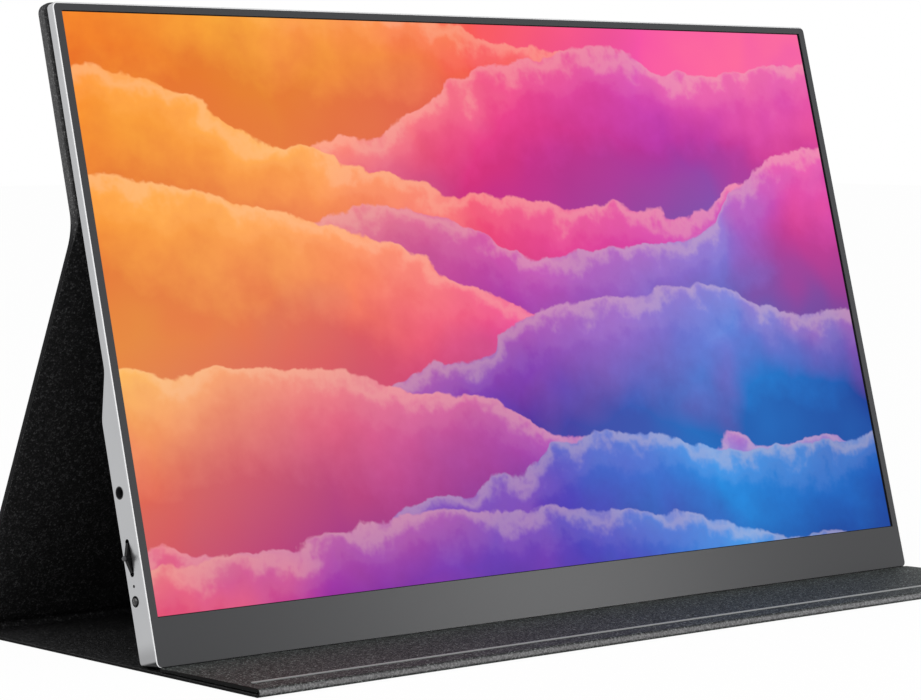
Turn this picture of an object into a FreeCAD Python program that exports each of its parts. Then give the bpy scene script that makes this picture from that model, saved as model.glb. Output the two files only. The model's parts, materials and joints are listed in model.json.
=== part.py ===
import FreeCAD, Part
import math
import os

import Sketcher

# A portable monitor that leans on its folio cover, folded into a stand.
# The part stands on the table at z = 0, the screen looks along -Y, and X runs across the screen.
# The display's own frame: x to the right, y up the screen from the case's lower edge, z out of the screen.
# A cover panel's own frame: z = 0 on its outer face, z towards its lining.

Vector = FreeCAD.Vector

# Driving dimensions in millimetres, angles in degrees
SIZES = {
    # picture and borders
    "active_width": 344.16,
    "active_height": 193.59,
    "side_border": 2.87,
    "top_border": 2.3,
    "chin_border": 15.3,
    "bezel_depth": 0.45,
    "bezel_reveal": 0.3,
    # layers behind the picture
    "panel_depth": 0.9,
    "panel_margin": 1.3,
    "panel_ledge": 4.2,
    "sheets_depth": 0.3,
    "guide_depth": 0.55,
    "reflector_depth": 0.15,
    "stack_margin": 0.6,
    "frame_floor": 0.2,
    "frame_wall": 0.3,
    "tape_depth": 0.3,
    "tape_width": 12,
    "tape_inset": 4,
    # light bar along the lower edge of the light guide
    "bar_gap": 0.1,
    "bar_width": 0.6,
    "bar_height": 0.7,
    "led_reach": 1.2,
    "led_width": 3.4,
    "led_height": 0.5,
    "led_gap": 0.3,
    # case
    "case_wall": 0.75,
    "back_wall": 0.6,
    "hump_depth": 8.9,
    "hump_height": 79.25,
    "ramp_height": 14.9,
    "ramp_radius": 9,
    "corner_radius": 2,
    "rim_chamfer": 0.4,
    "rim_wall": 0.5,
    "foot_rise": 1.565,
    "back_chamfer": 0.5,
    "fit_gap": 0.05,
    # boards
    "board_room": 1.05,
    "board_depth": 0.8,
    "main_board_width": 77,
    "main_board_height": 61,
    "main_board_edge": 2.2,
    "main_board_foot": 9,
    "key_board_width": 14,
    "key_board_height": 38,
    "key_board_edge": 7.1,
    "key_board_foot": 12,
    "screw_inset": 4,
    "socket_screw_inset": 16,
    "boss_radius": 2.1,
    "screw_radius": 0.75,
    "screw_head_radius": 1.6,
    "screw_head_height": 0.7,
    "screw_length": 3.6,
    "screw_room": 0.25,
    "shield_width": 38,
    "shield_height": 30,
    "shield_depth": 1.8,
    "shield_wall": 0.25,
    "chip_width": 17,
    "chip_depth": 1.1,
    "plug_depth": 0.7,
    "plug_width": 22,
    "plug_height": 5,
    "plug_inset": 6,
    "ribbon_depth": 0.12,
    "ribbon_margin": 1,
    "key_plug_length": 11,
    "key_plug_place": 24,
    # driver board in the chin
    "driver_margin": 46.08,
    "driver_height": 6.4,
    "driver_depth": 0.6,
    "driver_foot": 3.2,
    "tab_width": 31,
    "tab_depth": 0.1,
    "tab_lap": 0.9,
    # speakers
    "speaker_width": 54,
    "speaker_height": 20,
    "speaker_depth": 4.2,
    "speaker_room": 11.5,
    "speaker_foot": 7,
    "speaker_wall": 0.8,
    "cone_depth": 1.6,
    "cone_radius": 7,
    "slot_width": 1.2,
    "slot_length": 9,
    "slot_pitch": 3.6,
    # left side: jack, jog, light, button
    "jack_place": 55.9,
    "jack_line": 5.2,
    "jack_bore": 1.8,
    "jack_bore_length": 12,
    "jack_sleeve": 2.1,
    "jack_body": 5,
    "jack_length": 13,
    "jog_place": 35.45,
    "jog_line": 5.2,
    "jog_slot_length": 11.9,
    "jog_slot_width": 2,
    "lever_depth": 1.4,
    "lever_apex": 1.4,
    "stick_reach": 2.6,
    "stick_radius": 0.85,
    "stick_chamfer": 0.35,
    "lever_half": 4.7,
    "lever_neck": 1.1,
    "lever_tip": 0.95,
    "lever_shoulder": 0.2,
    "pin_inset": 3.3,
    "pin_radius": 0.5,
    "pin_room": 0.08,
    "yoke_arm": 0.55,
    "yoke_room": 0.15,
    "yoke_plate": 0.7,
    "yoke_back": 4.7,
    "yoke_half": 4,
    "yoke_reach": 1,
    "jog_switch_gap": 0.5,
    "jog_switch_length": 6,
    "jog_switch_width": 8.8,
    "jog_switch_depth": 2,
    "light_place": 26.6,
    "light_line": 5.3,
    "light_radius": 0.5,
    "light_chip": 1.2,
    "button_place": 21.9,
    "button_line": 5.75,
    "button_radius": 1.6,
    "button_room": 0.2,
    "button_stand": 0.5,
    "button_chamfer": 0.35,
    "button_flange": 0.6,
    "button_flange_radius": 2.3,
    "button_flange_gap": 0.3,
    "button_inset": 4.5,
    "switch_gap": 0.6,
    "switch_length": 5,
    "switch_width": 5.4,
    "switch_depth": 2.7,
    # right side: two data sockets and a picture socket
    "data_width": 8.94,
    "data_depth": 3.16,
    "data_wall": 0.3,
    "data_length": 7.3,
    "data_tongue_width": 6.7,
    "data_tongue_depth": 0.7,
    "data_cavity": 6.2,
    "data_low_place": 42,
    "data_high_place": 57,
    "picture_width": 11.2,
    "picture_depth": 3.1,
    "picture_slope": 1.1,
    "picture_place": 24.5,
    "socket_recess": 0.15,
    "socket_room": 0.2,
    # folio cover
    "tilt": 15.2,
    "cover_inset": 0.1,
    "hem": 1.2,
    "edge_round": 0.3,
    "foot_gap": 0.2,
    "upper_skin": 0.6,
    "upper_board": 3.25,
    "upper_lining": 1.85,
    "upper_edge_gap": 1.45,
    "upper_inset": 3,
    "upper_top_reach": 1.5,
    "upper_corner": 4,
    "upper_round": 1.2,
    "magnet_width": 70,
    "magnet_height": 14,
    "magnet_depth": 1.6,
    "magnet_place": 92,
    "crease_drop": 72.49,
    "crease_reach": 6,
    "crease_skin": 0.6,
    "leg_run": 60.01,
    "leg_skin": 0.5,
    "leg_board": 1,
    "leg_lining": 0.5,
    "bend_radius": 3.2,
    "bend_skin": 0.8,
    "bend_gap": 0.3,
    "base_skin": 0.35,
    "base_board": 0.35,
    "base_lining": 0.25,
    "lip_length": 50.23,
    "lip_to_case": 0.15,
    "lip_gap": 0.55,
    "lip_skin": 0.5,
    "lip_board": 0.45,
    "lip_lining": 0.3,
    "lip_corner": 1.5,
    "lip_end_gap": 0.25,
    "bead_place": 8.2,
    "bead_radius": 0.45,
    "bead_inset": 4.8,
    # shared by all cuts
    "overrun": 1,
}

# Counts
LED_COUNT = 37
TAB_COUNT = 4
SLOT_COUNT = 12

# The rounding of the jog lever's tip, as a share of its half width
TIP_ROUND_SHARE = 0.9

# How much of a sound slot's width is clipped off its corners
SLOT_CLIP_SHARE = 0.3


class Size:
    """A length that keeps its formula, so that a feature can be bound to what it is made from."""

    def __init__(self, text, value):
        self.text = text
        self.value = value

    def joined(self, sign, other, value):
        return Size(f"({self.text} {sign} {other.text})", value)

    def __add__(self, other):
        return self.joined("+", other, self.value + other.value)

    def __sub__(self, other):
        return self.joined("-", other, self.value - other.value)

    def __mul__(self, factor):
        return Size(f"({self.text} * {factor})", self.value * factor)

    def __truediv__(self, factor):
        return Size(f"({self.text} / {factor})", self.value / factor)

    def __neg__(self):
        return Size(f"(0 - {self.text})", -self.value)


ZERO = Size("0", 0.0)

doc = FreeCAD.newDocument("portable_monitor")
sheet = doc.addObject("Spreadsheet::Sheet", "sizes")
for row, (alias, number) in enumerate(SIZES.items(), 1):
    sheet.set(f"A{row}", alias)
    sheet.set(f"B{row}", str(number))
    sheet.setAlias(f"B{row}", alias)
doc.recompute()


def size(alias):
    """Reads one driving dimension from the sheet."""
    return Size(f"sizes.{alias}", float(sheet.get(alias)))


# Sketches and features

def new_body(label):
    body = doc.addObject("PartDesign::Body", label)
    body.Label = label
    return body


def new_sketch(body, plane="XY_Plane", offset=ZERO):
    sketch = body.newObject("Sketcher::SketchObject", f"{body.Label}_sketch")
    support = next(item for item in body.Origin.OriginFeatures if item.Role == plane)
    sketch.AttachmentSupport = [(support, "")]
    sketch.MapMode = "FlatFace"
    sketch.setExpression("AttachmentOffset.Base.z", offset.text)
    return sketch


def pin_point(sketch, geometry, point, x, y):
    """Ties one point of a sketch to its two formulas."""
    for kind, axis, place in (("DistanceX", -2, x), ("DistanceY", -1, y)):
        if place.value == 0:
            sketch.addConstraint(Sketcher.Constraint("PointOnObject", geometry, point, axis))
        else:
            index = sketch.addConstraint(Sketcher.Constraint(kind, geometry, point, place.value))
            sketch.setExpression(f"Constraints[{index}]", place.text)


def polygon(sketch, points):
    """A closed outline of straight lines through the points."""
    first = sketch.GeometryCount
    corners = [Vector(x.value, y.value, 0) for x, y in points]
    count = len(points)
    for index in range(count):
        sketch.addGeometry(Part.LineSegment(corners[index], corners[(index + 1) % count]))
    for index in range(count):
        following = first + (index + 1) % count
        sketch.addConstraint(Sketcher.Constraint("Coincident", first + index, 2, following, 1))
    for index, (x, y) in enumerate(points):
        pin_point(sketch, first + index, 1, x, y)


def rectangle(sketch, left, right, low, high):
    polygon(sketch, [(left, low), (right, low), (right, high), (left, high)])


def circle(sketch, x, y, radius):
    index = sketch.addGeometry(Part.Circle(Vector(x.value, y.value, 0), Vector(0, 0, 1), radius.value))
    pin_point(sketch, index, 3, x, y)
    bound = sketch.addConstraint(Sketcher.Constraint("Radius", index, radius.value))
    sketch.setExpression(f"Constraints[{bound}]", radius.text)


def slot(sketch, x, y, length, width):
    """A slot with round ends along the sketch's own x, centred on a point."""
    radius = width / 2
    reach = length / 2 - radius
    centres = [(x + reach, y), (x - reach, y)]
    first = sketch.GeometryCount
    for turn, (cx, cy) in enumerate(centres):
        ring = Part.Circle(Vector(cx.value, cy.value, 0), Vector(0, 0, 1), radius.value)
        low = (turn - 0.5) * math.pi
        sketch.addGeometry(Part.ArcOfCircle(ring, low, low + math.pi))
    ends = [sketch.getPoint(first, 2), sketch.getPoint(first + 1, 1)]
    sketch.addGeometry(Part.LineSegment(*ends))
    ends = [sketch.getPoint(first + 1, 2), sketch.getPoint(first, 1)]
    sketch.addGeometry(Part.LineSegment(*ends))
    joins = [(0, 2, 2, 1), (2, 2, 1, 1), (1, 2, 3, 1), (3, 2, 0, 1)]
    for one, one_end, other, other_end in joins:
        kind = Sketcher.Constraint("Tangent", first + one, one_end, first + other, other_end)
        sketch.addConstraint(kind)
    for index, (cx, cy) in enumerate(centres):
        pin_point(sketch, first + index, 3, cx, cy)
    bound = sketch.addConstraint(Sketcher.Constraint("Radius", first, radius.value))
    sketch.setExpression(f"Constraints[{bound}]", radius.text)


def clipped_slot(sketch, x, y, length, width):
    """An upright slot with clipped corners, centred on a point."""
    half, reach, clip = width / 2, length / 2, width * SLOT_CLIP_SHARE
    corners = [(half - clip, -reach), (half, -reach + clip), (half, reach - clip), (half - clip, reach)]
    corners += [(-across, -along) for across, along in corners]
    polygon(sketch, [(x + across, y + along) for across, along in corners])


def extrude(body, kind, sketch, length, reverse=False, both=False):
    feature = body.newObject(f"PartDesign::{kind}", f"{body.Label}_{kind.lower()}")
    feature.Profile = sketch
    feature.setExpression("Length", length.text)
    feature.Reversed = reverse
    feature.SideType = "Symmetric" if both else "One side"
    doc.recompute()
    return feature


def pad(body, sketch, length, **sides):
    return extrude(body, "Pad", sketch, length, **sides)


def pocket(body, sketch, length, **sides):
    return extrude(body, "Pocket", sketch, length, **sides)


def dress(body, kind, amount, test):
    """Rounds or bevels the edges of the body's tip that pass a test."""
    base = body.Tip
    names = [f"Edge{index}" for index, edge in enumerate(base.Shape.Edges, 1) if test(edge)]
    feature = body.newObject(f"PartDesign::{kind}", f"{body.Label}_{kind.lower()}")
    feature.Base = (base, names)
    feature.setExpression("Radius" if kind == "Fillet" else "Size", amount.text)
    doc.recompute()
    return feature


def row_of(body, feature, count, pitch, towards_left=False):
    """Repeats a feature in a row along X."""
    pattern = body.newObject("PartDesign::LinearPattern", f"{body.Label}_row")
    pattern.Originals = [feature]
    pattern.Direction = (next(item for item in body.Origin.OriginFeatures if item.Role == "X_Axis"), [""])
    pattern.Reversed = towards_left
    pattern.setExpression("Length", (pitch * (count - 1)).text)
    pattern.Occurrences = count
    body.Tip = pattern
    doc.recompute()
    return pattern


def near(one, other):
    return abs(one - other) < NEARNESS


def flat_at(edge, axis, place):
    """True for an edge that lies in one plane square to an axis."""
    box = edge.BoundBox
    low, high = getattr(box, f"{axis}Min"), getattr(box, f"{axis}Max")
    return near(low, place.value) and near(high, place.value)


def runs_along(edge, axis):
    """True for a straight edge along an axis."""
    others = [name for name in "XYZ" if name != axis]
    return all(near(getattr(edge.BoundBox, f"{name}Length"), 0) for name in others)


def upright_at(axis, place):
    """A test for straight edges along Z at one place along another axis."""
    def test(edge):
        return runs_along(edge, "Z") and near(getattr(edge.CenterOfMass, axis), place.value)
    return test


def corner_at(place):
    """A test for the corner edges of a case wall, both left and right, upright or slightly slanted."""
    def test(edge):
        steep = edge.BoundBox.ZLength > edge.BoundBox.YLength
        return steep and (flat_at(edge, "X", place) or flat_at(edge, "X", -place))
    return test


def plate(label, left, right, low, high, back, depth):
    """A flat piece whose front face lies at back + depth."""
    body = new_body(label)
    sketch = new_sketch(body, offset=back)
    rectangle(sketch, left, right, low, high)
    pad(body, sketch, depth)
    return body


def box_cut(body, left, right, low, high, back, depth):
    """Cuts a box out of a body, from its back plane forwards."""
    sketch = new_sketch(body, offset=back)
    rectangle(sketch, left, right, low, high)
    return pocket(body, sketch, depth, reverse=True)


def box_add(body, left, right, low, high, back, depth):
    sketch = new_sketch(body, offset=back)
    rectangle(sketch, left, right, low, high)
    return pad(body, sketch, depth)


def group(label, members):
    """Like pieces that share one node."""
    compound = doc.addObject("Part::Compound", label)
    compound.Label = label
    compound.Links = members
    doc.recompute()
    return compound


NEARNESS = 1e-4
overrun = size("overrun")
fit = size("fit_gap")

# Places in the display, worked out from the driving dimensions

case_wall = size("case_wall")
back_wall = size("back_wall")
hump_depth = size("hump_depth")
hump_height = size("hump_height")
ramp_top = hump_height + size("ramp_height")
corner_radius = size("corner_radius")
rim_wall = size("rim_wall")
foot_rise = size("foot_rise")

active_half = size("active_width") / 2
active_low = case_wall + size("chin_border")
active_high = active_low + size("active_height")
case_half = active_half + size("side_border") + case_wall
case_width = case_half * 2
case_height = active_high + size("top_border") + case_wall

panel_front = size("bezel_depth")
sheets_front = panel_front + size("panel_depth")
guide_front = sheets_front + size("sheets_depth")
reflector_front = guide_front + size("guide_depth")
floor_front = reflector_front + size("reflector_depth")
tape_front = floor_front + size("frame_floor")
cavity_depth = tape_front + size("tape_depth")
thin_depth = cavity_depth + back_wall
hump_floor = hump_depth - back_wall
board_front = tape_front + size("board_room")
board_back = board_front + size("board_depth")

stack_half = active_half + size("stack_margin")
stack_low = active_low - size("stack_margin")
stack_high = active_high + size("stack_margin")
panel_half = active_half + size("panel_margin")
panel_low = active_low - size("panel_ledge")
panel_high = active_high + size("panel_margin")
frame_wall = size("frame_wall")
led_low = stack_low - size("led_gap") - size("led_reach")
bar_low = led_low - size("bar_width")
frame_low = bar_low - size("bar_gap") - frame_wall

main_right = case_half - size("main_board_edge")
main_left = main_right - size("main_board_width")
main_low = size("main_board_foot")
speaker_place = main_left - size("speaker_room") - size("speaker_width") / 2
driver_half = active_half - size("driver_margin")
main_high = main_low + size("main_board_height")
key_left = -case_half + size("key_board_edge")
key_right = key_left + size("key_board_width")
key_low = size("key_board_foot")
key_high = key_low + size("key_board_height")

key_plug_low = size("key_plug_place")
key_plug_high = key_plug_low + size("key_plug_length")

inset = size("screw_inset")
main_columns = (main_left + inset, main_right - size("socket_screw_inset"))
main_screws = [(x, y) for x in main_columns for y in (main_low + inset, main_high - inset)]
key_screws = [(key_right - inset, key_low + inset), (key_right - inset, key_high - inset)]

jack_place, jack_line = size("jack_place"), size("jack_line")
jog_place, jog_line = size("jog_place"), size("jog_line")
light_place, light_line = size("light_place"), size("light_line")
button_place, button_line = size("button_place"), size("button_line")
data_places = {"low": size("data_low_place"), "high": size("data_high_place")}
data_line = board_back + size("data_depth") / 2
picture_place = size("picture_place")
picture_line = board_back + size("picture_depth") / 2


def picture_outline(growth):
    """The picture socket's outline: two lower corners cut aslant. Sketch x is y, sketch y is z."""
    half = size("picture_width") / 2 + growth
    reach = size("picture_depth") / 2 + growth
    slope = size("picture_slope")
    middle = -picture_line
    return [
        (picture_place - half, middle + reach),
        (picture_place - half, middle - reach + slope),
        (picture_place - half + slope, middle - reach),
        (picture_place + half - slope, middle - reach),
        (picture_place + half, middle - reach + slope),
        (picture_place + half, middle + reach),
    ]


# Display case

def make_back_shell():
    body = new_body("back_shell")
    profile = new_sketch(body, "YZ_Plane")
    polygon(profile, [
        (ZERO, ZERO),
        (case_height, ZERO),
        (case_height, -thin_depth),
        (ramp_top, -thin_depth),
        (hump_height, -hump_depth),
        (foot_rise, -hump_depth),
    ])
    pad(body, profile, case_width, both=True)
    cavity = new_sketch(body, "YZ_Plane")
    polygon(cavity, [
        (case_wall, overrun),
        (case_height - case_wall, overrun),
        (case_height - case_wall, -cavity_depth),
        (ramp_top, -cavity_depth),
        (hump_height, -hump_floor),
        (case_wall + foot_rise, -hump_floor),
        (case_wall, ZERO),
    ])
    pocket(body, cavity, case_width - case_wall * 2, both=True)
    rim_half = case_half - rim_wall
    box_cut(body, -rim_half, rim_half, rim_wall, case_height - rim_wall, -panel_front, panel_front + overrun)
    for wall in (case_wall, rim_wall, ZERO):
        dress(body, "Fillet", corner_radius - wall, corner_at(case_half - wall))

    def at_slope_end(edge):
        slope_ends = [(ramp_top, thin_depth), (hump_height, hump_depth)]
        return any(flat_at(edge, "Y", y) and flat_at(edge, "Z", -depth) for y, depth in slope_ends)

    def at_foot(edge):
        return flat_at(edge, "Y", foot_rise) and flat_at(edge, "Z", -hump_depth)

    def on_outer_rim(edge):
        rim = next(face for face in body.Tip.Shape.Faces if flat_at(face, "Z", ZERO))
        return any(edge.isSame(other) for other in rim.OuterWire.Edges)

    dress(body, "Fillet", size("ramp_radius"), at_slope_end)
    dress(body, "Chamfer", size("back_chamfer"), at_foot)
    dress(body, "Chamfer", size("rim_chamfer"), on_outer_rim)

    bosses = new_sketch(body, offset=-hump_floor)
    for x, y in main_screws + key_screws:
        circle(bosses, x, y, size("boss_radius"))
    pad(body, bosses, hump_floor - board_back)
    holes = new_sketch(body, offset=-board_back)
    for x, y in main_screws + key_screws:
        circle(holes, x, y, size("screw_radius"))
    pocket(body, holes, size("screw_length"))

    left_cuts = new_sketch(body, "YZ_Plane", offset=-(case_half - corner_radius))
    circle(left_cuts, jack_place, -jack_line, size("jack_sleeve"))
    slot(left_cuts, jog_place, -jog_line, size("jog_slot_length"), size("jog_slot_width"))
    circle(left_cuts, light_place, -light_line, size("light_radius"))
    circle(left_cuts, button_place, -button_line, size("button_radius") + size("button_room"))
    pocket(body, left_cuts, corner_radius + overrun)

    right_cuts = new_sketch(body, "YZ_Plane", offset=case_half - corner_radius)
    room = size("socket_room")
    data_width, data_depth = size("data_width") + room * 2, size("data_depth") + room * 2
    for place in data_places.values():
        slot(right_cuts, place, -data_line, data_width, data_depth)
    polygon(right_cuts, picture_outline(room))
    pocket(body, right_cuts, corner_radius + overrun, reverse=True)

    speaker_middle = size("speaker_foot") + size("speaker_height") / 2
    first_slot = speaker_place - size("slot_pitch") * ((SLOT_COUNT - 1) / 2)
    for outermost, towards_left in ((first_slot, False), (-first_slot, True)):
        sound = new_sketch(body, offset=-hump_depth - overrun)
        clipped_slot(sound, outermost, speaker_middle, size("slot_length"), size("slot_width"))
        cut = pocket(body, sound, back_wall + overrun * 2, reverse=True)
        row_of(body, cut, SLOT_COUNT, size("slot_pitch"), towards_left)
    return body


def make_front_bezel():
    half = case_half - rim_wall - fit
    low, high = rim_wall + fit, case_height - rim_wall - fit
    body = plate("front_bezel", -half, half, low, high, -panel_front, panel_front)
    dress(body, "Fillet", corner_radius - rim_wall, lambda edge: runs_along(edge, "Z"))
    reveal = size("bezel_reveal")
    box_cut(body, -active_half - reveal, active_half + reveal, active_low - reveal, active_high + reveal,
            -panel_front, panel_front + overrun)
    return body


# Picture panel and backlight

def make_panel_layers():
    depth = size("panel_depth")
    layers = [plate("lcd_panel", -panel_half, panel_half, panel_low, panel_high, -sheets_front, depth)]
    stack = [
        ("optical_sheets", guide_front, size("sheets_depth")),
        ("light_guide", reflector_front, size("guide_depth")),
        ("reflector_sheet", floor_front, size("reflector_depth")),
    ]
    for label, back, depth in stack:
        layers.append(plate(label, -stack_half, stack_half, stack_low, stack_high, -back, depth))
    return layers


def make_panel_frame():
    depth = tape_front - sheets_front
    body = plate("panel_frame", -panel_half, panel_half, frame_low, panel_high, -tape_front, depth)
    half, low, high = panel_half - frame_wall, frame_low + frame_wall, panel_high - frame_wall
    box_cut(body, -half, half, low, high, -floor_front, depth)
    return body


def make_panel_tape():
    step = size("tape_inset")
    width = size("tape_width")
    half, low, high = panel_half - step, ramp_top + step, panel_high - step
    body = plate("panel_tape", -half, half, low, high, -cavity_depth, size("tape_depth"))
    half, low, high = half - width, low + width, high - width
    box_cut(body, -half, half, low, high, -cavity_depth - overrun, cavity_depth)
    return body


def make_light_bar():
    back = -floor_front
    body = plate("light_bar", -stack_half, stack_half, bar_low, led_low, back, size("bar_height"))
    pitch, half = stack_half * 2 / LED_COUNT, size("led_width") / 2
    first = -pitch * ((LED_COUNT - 1) / 2)
    led_high = led_low + size("led_reach")
    led = box_add(body, first - half, first + half, bar_low, led_high, back, size("led_height"))
    row_of(body, led, LED_COUNT, pitch)
    return body


def make_driver_board():
    low = size("driver_foot")
    high = low + size("driver_height")
    front = sheets_front + size("tab_depth")
    depth = size("driver_depth")
    body = plate("driver_board", -driver_half, driver_half, low, high, -front - depth, depth)
    plug_half = size("plug_width") / 2
    plug_back = board_front - size("plug_depth") - size("ribbon_depth")
    middle = main_left + size("plug_inset") + plug_half
    box_add(body, middle - plug_half, middle + plug_half, low, low + size("plug_height"), -plug_back,
            plug_back - front)
    return body


def make_driver_tabs():
    low = size("driver_foot") + size("driver_height") - size("tab_lap")
    high = panel_low + size("tab_lap")
    half, pitch = size("tab_width") / 2, driver_half * 2 / TAB_COUNT
    first = -pitch * ((TAB_COUNT - 1) / 2)
    depth = size("tab_depth")
    tabs = []
    for index in range(TAB_COUNT):
        left = first + pitch * index - half
        tab = plate(f"driver_tab_{index}", left, left + half * 2, low, high, -sheets_front - depth, depth)
        tabs.append(tab)
    return tabs


# Boards and what they carry

def board_with_holes(label, left, right, low, high, screws):
    body = plate(label, left, right, low, high, -board_back, size("board_depth"))
    holes = new_sketch(body, offset=-board_back)
    for x, y in screws:
        circle(holes, x, y, size("screw_radius") + size("screw_room"))
    pocket(body, holes, board_back, reverse=True)
    return body


def make_main_board():
    body = board_with_holes("main_board", main_left, main_right, main_low, main_high, main_screws)
    left = main_left + size("plug_inset")
    plug = size("plug_width")
    tall = size("plug_height")
    middle = (main_low + main_high) / 2
    box_add(body, left, left + plug, middle, middle + tall, -board_front, size("plug_depth"))
    right = main_left + tall
    box_add(body, main_left, right, key_plug_low, key_plug_high, -board_front, size("plug_depth"))
    chip, chip_depth = size("chip_width"), size("chip_depth")
    left = (main_left + main_right) / 2 - chip / 2
    box_add(body, left, left + chip, middle, middle + chip, -board_back - chip_depth, chip_depth)
    return body


def make_board_shield():
    wall = size("shield_wall")
    across = (main_left + main_right) / 2
    middle = (main_low + main_high) / 2 + size("chip_width") / 2
    half, reach = size("shield_width") / 2, size("shield_height") / 2
    depth = size("shield_depth")
    back = -board_back - depth
    body = plate("board_shield", across - half, across + half, middle - reach, middle + reach, back, depth)
    half, reach = half - wall, reach - wall
    box_cut(body, across - half, across + half, middle - reach, middle + reach, back + wall, depth)
    return body


def make_key_board():
    body = board_with_holes("key_board", key_left, key_right, key_low, key_high, key_screws)
    chip = size("light_chip")
    box_add(body, key_left + fit, key_left + fit + chip, light_place - chip / 2, light_place + chip / 2,
            -light_line - chip / 2, light_line + chip / 2 - board_back)
    tall = size("plug_height")
    box_add(body, key_right - tall, key_right, key_plug_low, key_plug_high, -board_front, size("plug_depth"))
    return body


def make_cables():
    depth = size("ribbon_depth")
    back = -board_front + size("plug_depth")
    left = main_left + size("plug_inset")
    plug, tall = size("plug_width"), size("plug_height")
    middle = (main_low + main_high) / 2
    low = size("driver_foot")
    room = size("ribbon_margin")
    panel_cable = plate("panel_cable", left + room, left + plug - room, low, middle + tall, back, depth)
    key_cable = plate("key_cable", key_right - tall, main_left + tall, key_plug_low + room,
                      key_plug_high - room, back, depth)
    return [panel_cable, key_cable]


def make_speaker(label, side):
    half, low = size("speaker_width") / 2, size("speaker_foot")
    high = low + size("speaker_height")
    middle = speaker_place * side
    wall = size("speaker_wall")
    body = plate(label, middle - half, middle + half, low, high, -hump_floor, size("speaker_depth"))
    dress(body, "Fillet", wall * 2, lambda edge: runs_along(edge, "Z"))
    mouth = new_sketch(body, offset=-hump_floor)
    radius = size("cone_radius")
    mouth_width = size("speaker_width") - wall * 4
    slot(mouth, middle, low + size("speaker_height") / 2, mouth_width, radius * 2)
    pocket(body, mouth, size("cone_depth"), reverse=True)
    cone = new_sketch(body, offset=-hump_floor + size("cone_depth"))
    circle(cone, middle, low + size("speaker_height") / 2, radius / 2)
    pad(body, cone, size("cone_depth") / 2, reverse=True)
    return body


def make_board_screws():
    screws = []
    for index, (x, y) in enumerate(main_screws + key_screws):
        head = doc.addObject("Part::Cylinder", f"screw_head_{index}")
        head.setExpression("Radius", size("screw_head_radius").text)
        head.setExpression("Height", size("screw_head_height").text)
        head.Placement.Base = Vector(x.value, y.value, -board_front.value)
        shank = doc.addObject("Part::Cylinder", f"screw_shank_{index}")
        length = size("screw_length")
        shank.setExpression("Radius", size("screw_radius").text)
        shank.setExpression("Height", (length + fit).text)
        shank.Placement.Base = Vector(x.value, y.value, -(board_front + length).value)
        screw = doc.addObject("Part::Fuse", f"screw_{index}")
        screw.Base = head
        screw.Tool = shank
        screws.append(screw)
    return group("board_screws", screws)


# Left side

def make_headphone_jack():
    half = size("jack_body") / 2
    wall = -(case_half - case_wall)
    body = plate("headphone_jack", wall, wall + size("jack_length"), jack_place - half, jack_place + half,
                 -jack_line - half, half * 2)
    sleeve = new_sketch(body, "YZ_Plane", offset=-case_half)
    circle(sleeve, jack_place, -jack_line, size("jack_sleeve"))
    pad(body, sleeve, case_wall + fit)
    bore = new_sketch(body, "YZ_Plane", offset=-case_half)
    circle(bore, jack_place, -jack_line, size("jack_bore"))
    pocket(body, bore, size("jack_bore_length"), reverse=True)
    return body


lever_back = jog_line + size("lever_depth") / 2
pin_x = -case_half + size("pin_inset")
yoke_front_x = -case_half + size("yoke_back")
yoke_low = lever_back + size("yoke_room") + size("yoke_arm")
yoke_depth = size("lever_depth") + size("yoke_room") * 2 + size("yoke_arm") * 2


def make_jog_lever():
    body = new_body("jog_lever")
    neck, half, tip = size("lever_neck"), size("lever_half"), size("lever_tip")
    inner = pin_x + size("pin_radius") * 2
    flare = -case_half + case_wall + size("lever_shoulder") * 2
    shoulder = -case_half - size("lever_shoulder")
    end = -case_half - size("lever_apex")
    waist = pin_x - size("pin_radius") * 2
    half_outline = [(inner, neck), (waist, neck), (flare, half), (shoulder, half), (end, tip)]
    points = [(x, jog_place - reach) for x, reach in half_outline]
    points += [(x, jog_place + reach) for x, reach in reversed(half_outline)]
    sketch = new_sketch(body, offset=-lever_back)
    polygon(sketch, points)
    pad(body, sketch, size("lever_depth"))
    dress(body, "Fillet", tip * TIP_ROUND_SHARE, upright_at("x", end))
    reach = size("stick_reach")
    stick = new_sketch(body, "YZ_Plane", offset=-case_half - reach)
    circle(stick, jog_place, -jog_line, size("stick_radius"))
    pad(body, stick, reach)
    dress(body, "Chamfer", size("stick_chamfer"), lambda edge: flat_at(edge, "X", -case_half - reach))
    hole = new_sketch(body, offset=-lever_back)
    circle(hole, pin_x, jog_place, size("pin_radius") + size("pin_room"))
    pocket(body, hole, size("lever_depth") + overrun, reverse=True)
    return body


def make_jog_carrier():
    half, reach = size("yoke_half"), size("yoke_reach")
    plate_back = yoke_front_x + size("yoke_plate")
    low, high = jog_place - half, jog_place + half
    body = plate("jog_carrier", yoke_front_x, plate_back, low, high, -yoke_low, yoke_depth)
    arm_end = pin_x - reach
    for back in (-yoke_low, -yoke_low + yoke_depth - size("yoke_arm")):
        box_add(body, arm_end, yoke_front_x, jog_place - reach, jog_place + reach, back, size("yoke_arm"))
    pivot = new_sketch(body, offset=-yoke_low)
    circle(pivot, pin_x, jog_place, size("pin_radius"))
    pad(body, pivot, yoke_depth)
    return body


def make_jog_switch():
    left = yoke_front_x + size("yoke_plate") + size("jog_switch_gap")
    half = size("jog_switch_width") / 2
    depth = size("jog_switch_depth")
    body = plate("jog_switch", left, left + size("jog_switch_length"), jog_place - half, jog_place + half,
                 -board_back - depth, depth)
    return body


def make_light_pipe():
    body = new_body("light_pipe")
    sketch = new_sketch(body, "YZ_Plane", offset=-case_half)
    circle(sketch, light_place, -light_line, size("light_radius"))
    pad(body, sketch, size("key_board_edge"))
    return body


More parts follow.
